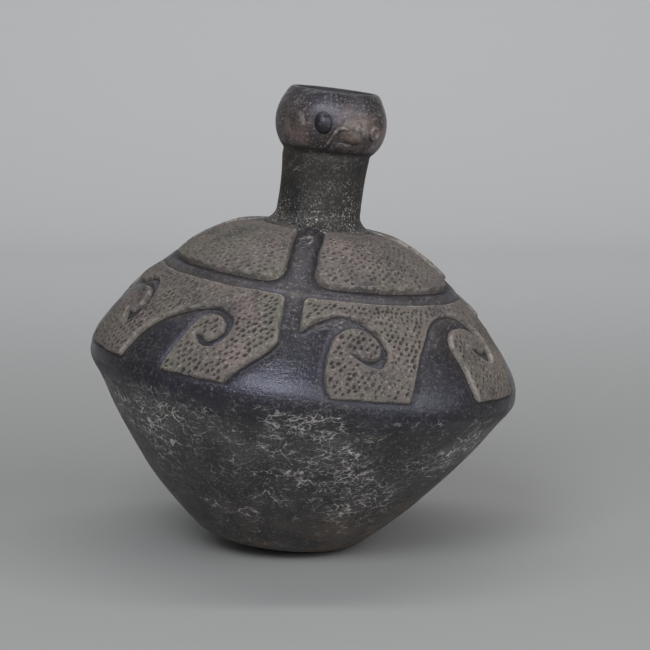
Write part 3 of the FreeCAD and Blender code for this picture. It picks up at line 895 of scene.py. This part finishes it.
def rooted_places(azimuth, travel):
    """How thick the root marks lie on the bowl."""
    nests = 0 * travel
    for nest_azimuth, height, reach in ROOT_NESTS:
        across = (turned_to(azimuth, nest_azimuth) - nest_azimuth) * per_degree(travel)
        up = travel - OUTLINE.travel_at(height)
        nests = np.maximum(nests, np.exp(-(across ** 2 + up ** 2) / reach ** 2))
    return nests


def rubbed_places(azimuth, travel):
    """How far the black is rubbed off the bulb and its face."""
    rubbed = 0 * travel
    for patch_azimuth, height, reach_across, reach_up in RUBBED:
        across = (turned_to(azimuth, patch_azimuth) - patch_azimuth) * per_degree(travel) / reach_across
        up = (travel - OUTLINE.travel_at(height)) / reach_up
        rubbed = np.maximum(rubbed, np.exp(-(across ** 2 + up ** 2)))
    return rubbed


def socket_dents(azimuth, travel):
    """Depth of the eye sockets and the mouth hollow in the bulb, and the darkness of the painted shade in them.
    """
    depth, dark = 0 * travel, 0 * travel
    for socket_azimuth, height, radius, deep, darkness in SOCKETS:
        across = (turned_to(azimuth, socket_azimuth) - socket_azimuth) * per_degree(travel)
        out = (across ** 2 + (travel - OUTLINE.travel_at(height)) ** 2) / radius ** 2
        depth += deep * np.exp(-out * 1.6)
        dark = np.maximum(dark, darkness * np.exp(-out * 1.8))
    return depth, dark


def wall_inside(start_height, end_height, step, form):
    """Rows up the inside of the body's wall."""
    return outside_rows(start_height, end_height, step, BODY_COLUMNS, form, -WALL)[0]


class BOTTLE_OT_base_and_bowl(bpy.types.Operator):
    """Makes the domed base and the bowl wall."""

    bl_idname = "bottle.base_and_bowl"
    bl_label = "Base and bowl"

    def execute(self, context):
        form = context.scene.bottle_form
        edge = DOME_MIDDLE - math.sqrt(DOME_RADIUS ** 2 - DOME_EDGE ** 2)
        start = DOME_MIDDLE - DOME_RADIUS + 0.01        # just off the pole of the dome
        outer = outside_rows(start, edge, 1.5, BODY_COLUMNS, form)[0]
        inner = wall_inside(start, edge, 4.0, form)
        rows = np.concatenate([outer, inner[::-1]])
        count, columns = rows.shape[:2]
        poles = np.array([outer[0].mean(axis=0), inner[0].mean(axis=0)])
        last_row = (count - 1) * columns
        turn = np.arange(columns)
        fans = [np.stack([np.full(columns, count * columns), (turn + 1) % columns, turn], -1),
                np.stack([np.full(columns, count * columns + 1), last_row + turn,
                          last_row + (turn + 1) % columns], -1)]
        places = np.concatenate([rows.reshape(-1, 3), poles])
        faces = [round_faces(count, columns, joined=False)] + fans
        base = make_piece("base_dome", places, faces, {}, "smoked_bowl_clay", "base_disc")
        base.data.set_sharp_from_angle(angle=SEAM_ANGLE)
        outer, azimuth, travel = outside_rows(edge, KEEL_BOTTOM, 1.2, BODY_COLUMNS, form)
        inner = wall_inside(edge, KEEL_BOTTOM, 5.0, form)
        turned_piece("bowl_wall", outer, inner, "smoked_bowl_clay", "lower_bowl",
                     marks={"rooted": rooted_places(azimuth, travel)})
        return {"FINISHED"}


class BOTTLE_OT_keel_and_shoulder(bpy.types.Operator):
    """Makes the keel and the burnished shoulder, pressed in a little beside the raised grounds."""

    bl_idname = "bottle.keel_and_shoulder"
    bl_label = "Keel and shoulder"

    def execute(self, context):
        form = context.scene.bottle_form
        outer, azimuth, travel = outside_rows(KEEL_BOTTOM, KEEL_TOP, 0.8, BODY_COLUMNS, form)
        inner = wall_inside(KEEL_BOTTOM, KEEL_TOP, 4.0, form)
        height = np.interp(travel, OUTLINE.travel, OUTLINE.height)
        under = soft_step(KEEL_RIDGE + 2.8, KEEL_RIDGE, height)
        # Painted shade: a dark line along the keel near its ridge
        marks = {"chips_and_glint": 0.35 * (1 - under),
                 "hollow": 0.4 * np.exp(-((height - KEEL_RIDGE - 1.6) / 1.0) ** 2),
                 "under_keel": under, "rooted": rooted_places(azimuth, travel)}
        turned_piece("keel_band", outer, inner, "burnished_black_clay", "keel_coil", marks=marks)
        _, azimuth, travel = outside_rows(KEEL_TOP, SHOULDER_TOP, 0.8, BODY_COLUMNS, form)
        below_cap = np.maximum(-cap_ground_depth(azimuth, travel), 0)
        away = np.minimum(np.maximum(-scroll_ground_depth(azimuth, travel), 0), below_cap)
        press_depth, groove_depth, swell_height = 0.9, 0.75, 0.3
        pressed = -press_depth * np.exp(-((away - 0.6) / 1.6) ** 2) * soft_step(0.0, 3.0, travel)
        groove = -groove_depth * np.exp(-(below_cap / 3.4) ** 2)
        swell = swell_height * soft_step(1.5, 7.0, away)
        outer = on_outside(azimuth, travel, pressed + groove + swell, form)
        inner = wall_inside(KEEL_TOP, SHOULDER_TOP, 5.0, form)
        # Painted shade: darker beside the edges of the grounds and in the groove under the cap grounds
        painted_groove_shade = 0.85 * np.exp(-(below_cap / 4.0) ** 2)
        marks = {"chips_and_glint": np.exp(-away / 3.2),
                 "hollow": np.maximum(0.8 * np.exp(-(away / 1.8) ** 2), painted_groove_shade),
                 "ground_edge": np.exp(-((travel - SCROLL_TOP - 0.8) / 1.8) ** 2),
                 "upper": soft_step(18.0, 46.0, travel)}
        turned_piece("burnished_shoulder", outer, inner, "burnished_black_clay", "shoulder_dome", marks=marks)
        return {"FINISHED"}


def quarter_grid(quarter, foot, top, step, margin):
    """Azimuths and travels of a fine grid over one quarter between two straps."""
    start = STRAPS[quarter]
    end = STRAPS[(quarter + 1) % 4] + (360.0 if quarter == 3 else 0.0)
    middle_scale = per_degree((foot + top) / 2)
    columns = int((end - start) * middle_scale / step)
    rows = int((top - foot + 2 * margin) / step)
    return np.meshgrid(np.linspace(start, end, columns), np.linspace(foot - margin, top + margin, rows))


def ground_marks(stab, depth):
    """Marks of a raised ground: painted shade in the stabs, rubbed in a narrow band inside its edge."""
    return {"stab": 0.8 * stab, "worn_edge": np.exp(-((depth - 0.2) / 0.3) ** 2)}


class BOTTLE_OT_scroll_grounds(bpy.types.Operator):
    """Makes the four raised, stabbed grounds around the waves."""

    bl_idname = "bottle.scroll_grounds"
    bl_label = "Scroll grounds"

    def execute(self, context):
        form = context.scene.bottle_form
        for quarter, corner in enumerate(QUARTERS):
            azimuth, travel = quarter_grid(quarter, SCROLL_FOOT, SCROLL_TOP, form.grid_step / MM, 1.5)
            depth = scroll_ground_depth(azimuth, travel)
            worn_top = 0.15 + 0.85 * soft_step(0.0, 12.0, SCROLL_TOP - travel)
            height = ground_height(depth, form.scroll_stand / MM * worn_top)
            tool = StabTool(40 + quarter, form.stab_spacing / MM, form.stab_length / MM,
                            0.56 * form.stab_length / MM, form.stab_depth / MM, 50.0, 1.6)
            stab = tool.press(azimuth, travel, depth, height)
            raised_piece("scroll_ground_" + corner, azimuth, travel, height, ground_marks(stab, depth),
                         "matte_panel_clay", "scroll_panel_" + corner, form=form)
        return {"FINISHED"}


class BOTTLE_OT_cap_grounds(bpy.types.Operator):
    """Makes the four raised, finely stabbed grounds around the neck."""

    bl_idname = "bottle.cap_grounds"
    bl_label = "Cap grounds"

    def execute(self, context):
        form = context.scene.bottle_form
        for quarter, corner in enumerate(QUARTERS):
            azimuth, travel = quarter_grid(quarter, CAP_FOOT, CAP_TOP, form.grid_step / MM, 1.5)
            depth = cap_ground_depth(azimuth, travel)
            stand = form.cap_stand / MM * soft_step(CAP_TOP + 1.0, CAP_TOP - 12.0, travel)
            height = ground_height(depth, stand)
            tool = StabTool(50 + quarter, 0.95 * form.stab_spacing / MM, 0.86 * form.stab_length / MM,
                            0.5 * form.stab_length / MM, 0.9 * form.stab_depth / MM, 40.0, 1.3)
            stab = tool.press(azimuth, travel, np.minimum(depth, CAP_TOP - 5.0 - travel), height)
            raised_piece("cap_ground_" + corner, azimuth, travel, height, ground_marks(stab, depth),
                         "matte_panel_clay", "cap_panel_" + corner, form=form)
        return {"FINISHED"}


class BOTTLE_OT_neck_and_spout(bpy.types.Operator):
    """Makes the collar, the neck, the hollow bulb and the lip."""

    bl_idname = "bottle.neck_and_spout"
    bl_label = "Neck and spout"

    def execute(self, context):
        form = context.scene.bottle_form
        outer, azimuth, travel = outside_rows(SHOULDER_TOP, COLLAR_TOP, 0.5, NECK_COLUMNS, form)
        beside_strap = soft_step(-1.0, 1.0, strap_gap(azimuth, travel, STRAP_HALF))
        foot = soft_step(CAP_TOP + 5.0, CAP_TOP, travel)
        marks = {"ground_edge": beside_strap * foot}
        collar_inside = ((27.0, COLLAR_FLOOR), (20.0, COLLAR_FLOOR), (BORE, COLLAR_FLOOR), (BORE, COLLAR_TOP))
        turned_piece("collar_flare", outer, inside_rows(collar_inside, 3.0, NECK_COLUMNS),
                     "speckled_neck_clay", "neck_collar", marks=marks)
        outer = outside_rows(COLLAR_TOP, BULB_FOOT, 0.6, NECK_COLUMNS, form)[0]
        bore = inside_rows(((BORE, COLLAR_TOP), (BORE, BULB_FOOT)), 3.0, NECK_COLUMNS)
        turned_piece("neck_wall", outer, bore, "speckled_neck_clay", "neck_tube")
        _, azimuth, travel = outside_rows(BULB_FOOT, BULB_TOP, 0.4, BODY_COLUMNS, form)
        depth, dark = socket_dents(azimuth, travel)
        outer = on_outside(azimuth, travel, -depth, form)
        # Painted shade in the eye sockets and the mouth hollow, and a painted shadow in the crease under the
        # bulb
        painted_crease_shadow = 0.9 * np.exp(-((travel - OUTLINE.travel_at(BULB_FOOT)) / 1.6) ** 2)
        marks = {"hollow": np.maximum(dark, painted_crease_shadow), "chips_and_glint": 0.3 + 0 * travel,
                 "upper": 0.7 + 0 * travel, "rubbed": rubbed_places(azimuth, travel)}
        turned_piece("bulb_wall", outer, inside_rows(BULB_HOLLOW, 1.0, BODY_COLUMNS), "burnished_black_clay",
                     "spout_bulb", marks=marks)
        seam = (OUTLINE.radius_at(OUTLINE.travel_at(BULB_TOP)), BULB_TOP)
        loop = inside_rows((seam, *LIP), 0.5, NECK_COLUMNS)
        bumps = hand_lumps(loop, seam[0], form)[..., None]
        outward = loop - np.array([NECK_SHIFT, 0, BULB_TOP])
        outward /= np.linalg.norm(outward, axis=-1, keepdims=True)
        rows = loop + outward * bumps
        level = np.ones(rows.shape[:2])
        inside = np.cumsum(level, axis=0) > np.argmax(loop[:, 0, 2]) + 2
        # Painted shade on the inside of the lip
        marks = {"chips_and_glint": 0.4 * level, "upper": 0.6 * level, "hollow": 1.0 * inside}
        lip = make_piece("lip_ring", rows, [round_faces(*rows.shape[:2])], marks, "burnished_black_clay",
                         "lip_coil")
        lip.data.set_sharp_from_angle(angle=SEAM_ANGLE)
        return {"FINISHED"}


def face_grid(azimuth, height, half_width, half_height, step=0.22):
    """A fine grid on the bulb, as azimuths, travels, and millimetres across and up from its middle."""
    middle = OUTLINE.travel_at(height)
    scale = per_degree(middle)
    across = np.arange(-half_width, half_width + step, step)
    up = np.arange(-half_height, half_height + step, step)
    across, up = np.meshgrid(across, up)
    return azimuth + across / scale, middle + up, across, up


def face_marks(azimuth, travel, height, low):
    """Marks of a piece of the face: rubbed like the bulb around it, and more on its high parts."""
    high = soft_step(0.35, 1.0, height / height.max())
    return {"worn_edge": high, "upper": 0.6 + 0 * travel,
            "rubbed": np.maximum(rubbed_places(azimuth, travel), low * high)}


class BOTTLE_OT_face(bpy.types.Operator):
    """Makes the small worn animal face on the bulb."""

    bl_idname = "bottle.face"
    bl_label = "Face"

    def execute(self, context):
        form = context.scene.bottle_form
        self.eyes(form)
        self.ears(form)
        self.muzzle(form)
        return {"FINISHED"}

    def eyes(self, form):
        azimuth, travel, across, up = face_grid(-9.0, 122.2, 6.5, 7.5)
        out = np.hypot(across / 4.2, (up + 0.15 * across) / 5.2)
        lumps = 0.3 * soft_noise(np.stack([across, up, up], -1), 4.0, 80)
        boss = (2.0 + lumps) * np.clip(1 - out ** 2, 0, 1) ** 0.8
        height = np.where(out < 1, boss, 3.0 * (1 - out)) - 0.4
        # Painted highlight: a patch of pale chips low on the boss's left stands in for a glint
        # Painted shade around the foot of the boss
        marks = {"chips_and_glint": 1.4 * np.exp(-((across + 1.6) ** 2 + (up + 1.2) ** 2) / 6.0),
                 "hollow": 0.6 * soft_step(0.4, 1.0, out)}
        raised_piece("eye_boss", azimuth, travel, height, marks, "burnished_black_clay", "left_eye",
                     form=form)
        azimuth, travel, across, up = face_grid(50.0, 119.6, 5.5, 5.5)
        out = np.hypot(across, up * 0.95)
        lumps = 0.25 * soft_noise(np.stack([across, up, up], -1), 2.0, 81)
        height = 1.1 - 1.3 * ((out - 2.4) / 1.1) ** 2 + lumps
        height = np.where(out < 2.4, np.maximum(height, 0.15), height)
        marks = face_marks(azimuth, travel, height, 1.0)
        raised_piece("eye_ring", azimuth, travel, height, marks, "worn_face_clay", "right_eye", form=form)

    def ears(self, form):
        for name, node, middle, side in (("ear_fold_left", "left_ear", -42.0, -1),
                                         ("ear_fold_right", "right_ear", 112.0, 1)):
            azimuth, travel, across, up = face_grid(middle, 119.5, 10.0, 9.0)
            out = np.hypot(across * 1.05, up * 0.9)
            turn = np.arctan2(up, across * side)
            fold = 0.45 * np.exp(-((out - 4.6) / 1.9) ** 2) * soft_step(-2.4, 0.4, turn)
            height = fold + 0.2 - 0.007 * out ** 2
            marks = {"upper": 0.7 + 0 * travel, "rubbed": rubbed_places(azimuth, travel)}
            raised_piece(name, azimuth, travel, height, marks, "worn_face_clay", node, form=form)

    def muzzle(self, form):
        azimuth, travel, across, up = face_grid(29.0, 120.4, 9.5, 8.5)
        out = (np.abs(across / 8.2) ** 2.2 + np.abs(up / 7.2) ** 2.2) ** (1 / 2.2)
        places = wandered(np.full(across.shape, 26.0), travel, azimuth)
        lumps = 0.45 * soft_noise(places, 4.0, 82) + 0.25 * soft_noise(places, 1.8, 83)
        height = 1.6 * (1 - out ** 2.0) + lumps * soft_step(1.1, 0.7, out)
        marks = face_marks(azimuth, travel, height, 0.9)
        raised_piece("muzzle_mound", azimuth, travel, height, marks, "worn_face_clay", "muzzle", form=form)
        azimuth, travel, across, up = face_grid(9.5, 116.6, 9.0, 8.5)
        ridge = flowing_line(((-5.2, -3.4), (-4.1, -1.0), (-2.7, 1.7), (-1.1, 3.8), (0.9, 4.4), (2.6, 4.0)),
                             0.4)
        gap = np.hypot(across[..., None] - ridge[:, 0], up[..., None] - ridge[:, 1]).min(axis=-1)
        lumps = 0.15 * soft_noise(np.stack([across, up, up], -1), 1.8, 84)
        half_width = 0.75 + 0.4 * soft_step(-3.0, 4.0, up) + lumps
        rounded = 1.6 * np.sqrt(np.clip(1 - (gap / half_width) ** 2, 0, 1))
        height = np.where(gap < half_width, rounded, 2.6 * (half_width - gap))
        marks = face_marks(azimuth, travel, height, 0.6)
        raised_piece("mouth_fold", azimuth, travel, height, marks, "worn_face_clay", "mouth_ridge", form=form)


class BOTTLE_OT_stage(bpy.types.Operator):
    """Makes the floor and backdrop, the soft lights and the camera."""

    bl_idname = "bottle.stage"
    bl_label = "Stage"

    def execute(self, context):
        setup = context.scene.studio_setup
        self.backdrop(setup)
        self.lights(context, setup)
        self.camera(context, setup)
        return {"FINISHED"}

    def backdrop(self, setup):
        """A floor that sweeps up into a wall behind the bottle."""
        sweep, half_width, front, back, wall_top = 0.5, 3.0, -3.0, 1.2, 2.6
        turn = np.linspace(0, math.pi / 2, 24)
        curve = np.stack([back + sweep * np.sin(turn), sweep * (1 - np.cos(turn))], -1)
        section = np.concatenate([[(front, 0.0)], curve, [(back + sweep, wall_top)]])
        places = np.array([(side * half_width, y, z) for y, z in section for side in (-1, 1)])
        faces = [(2 * row, 2 * row + 1, 2 * row + 3, 2 * row + 2) for row in range(len(section) - 1)]
        mesh = bpy.data.meshes.new("studio_floor")
        mesh.from_pydata(places.tolist(), [], faces)
        mesh.polygons.foreach_set("use_smooth", np.ones(len(faces), bool))
        floor = bpy.data.objects.new("studio_floor", mesh)
        bpy.context.scene.collection.objects.link(floor)
        paper = bpy.data.materials.new("studio_paper")
        paper.use_nodes = True
        shader = paper.node_tree.nodes["Principled BSDF"]
        sheet = Sheet(paper.node_tree)
        # Painted light and shade: the paper is darker on the floor in front and lighter up the backdrop, for
        # the backdrop catching more light
        depth = sheet.add("ShaderNodeSeparateXYZ", {0: sheet.place()})["Y"]
        colour = sheet.tint(depth.fade(0.1, 1.3), (*setup.floor, 1.0), (*setup.wall, 1.0))
        sheet.put(colour, shader.inputs["Base Color"])
        shader.inputs["Roughness"].default_value = 0.85
        shader.inputs["Specular IOR Level"].default_value = 0.2
        mesh.materials.append(paper)

    def lights(self, context, setup):
        def soft_light(name, place, aim, width, depth, power, colour):
            data = bpy.data.lights.new(name, "AREA")
            data.shape, data.size, data.size_y = "RECTANGLE", width, depth
            data.energy, data.color = power, colour
            light = bpy.data.objects.new(name, data)
            light.location = place
            light.rotation_euler = (Vector(aim) - Vector(place)).to_track_quat("-Z", "Y").to_euler()
            context.scene.collection.objects.link(light)

        def from_bottle(azimuth, rise, distance):
            turn, rise = math.radians(azimuth), math.radians(rise)
            return (distance * math.cos(rise) * math.sin(turn), -distance * math.cos(rise) * math.cos(turn),
                    distance * math.sin(rise))

        bottle, white = (0, 0, 0.1), (1.0, 1.0, 1.0)
        soft_light("key_light", from_bottle(10, 30, 1.35), bottle, 1.3, 0.7, setup.key_power,
                   (0.97, 0.98, 1.0))
        soft_light("glint_light", from_bottle(-19, 40, 1.3), bottle, 0.55, 0.5, setup.glint_power,
                   (0.95, 0.97, 1.0))
        soft_light("side_light", from_bottle(58, 26, 1.3), bottle, 0.9, 0.9, setup.side_power, white)
        soft_light("wall_light", (0, 0.25, 1.9), (0, 1.7, 0.75), 2.4, 0.5, setup.wall_power, white)
        world = bpy.data.worlds.new("room")
        world.use_nodes = True
        background = world.node_tree.nodes["Background"]
        background.inputs["Color"].default_value = (0.93, 0.96, 1.0, 1.0)
        background.inputs["Strength"].default_value = setup.fill
        context.scene.world = world
        context.scene.view_settings.view_transform = "Standard"

    def camera(self, context, setup):
        data = bpy.data.cameras.new("camera")
        data.lens, data.sensor_width, data.clip_start, data.clip_end = setup.lens, 36.0, 0.05, 20.0
        camera = bpy.data.objects.new("camera", data)
        keel_middle = Vector(set_down(np.zeros(3)))
        camera.location = keel_middle + Vector((0, -setup.distance, setup.rise))
        aimed_past_middle = Vector((11.64, 4.2, 24.6)) * MM
        aim = keel_middle + aimed_past_middle
        camera.rotation_euler = (aim - camera.location).to_track_quat("-Z", "Y").to_euler()
        context.scene.collection.objects.link(camera)
        context.scene.camera = camera


class BOTTLE_PT_sidebar(bpy.types.Panel):
    """Lists the bottle's settings and the steps that make it."""

    bl_idname = "BOTTLE_PT_sidebar"
    bl_label = "Clay Bottle"
    bl_space_type = "VIEW_3D"
    bl_region_type = "UI"
    bl_category = "Clay Bottle"

    def draw(self, context):
        for settings in (context.scene.bottle_form, context.scene.clay_colours, context.scene.studio_setup):
            box = self.layout.box()
            for name in settings.__annotations__:
                box.prop(settings, name)
        for step in STEPS:
            self.layout.operator(step.bl_idname)


SETTINGS = (("bottle_form", BottleForm), ("clay_colours", ClayColours), ("studio_setup", StudioSetup))
STEPS = (BOTTLE_OT_finishes, BOTTLE_OT_base_and_bowl, BOTTLE_OT_keel_and_shoulder, BOTTLE_OT_scroll_grounds,
         BOTTLE_OT_cap_grounds, BOTTLE_OT_neck_and_spout, BOTTLE_OT_face, BOTTLE_OT_stage)


def register():
    for name, settings in SETTINGS:
        bpy.utils.register_class(settings)
        setattr(bpy.types.Scene, name, PointerProperty(type=settings))
    for made in (*STEPS, BOTTLE_PT_sidebar):
        bpy.utils.register_class(made)


def unregister():
    for made in reversed((*STEPS, BOTTLE_PT_sidebar)):
        bpy.utils.unregister_class(made)
    for name, settings in reversed(SETTINGS):
        delattr(bpy.types.Scene, name)
        bpy.utils.unregister_class(settings)


def main():
    register()
    bpy.ops.bottle.finishes()
    bpy.ops.bottle.base_and_bowl()
    bpy.ops.bottle.keel_and_shoulder()
    bpy.ops.bottle.scroll_grounds()
    bpy.ops.bottle.cap_grounds()
    bpy.ops.bottle.neck_and_spout()
    bpy.ops.bottle.face()
    bpy.ops.bottle.stage()


if __name__ == "__main__":
    main()
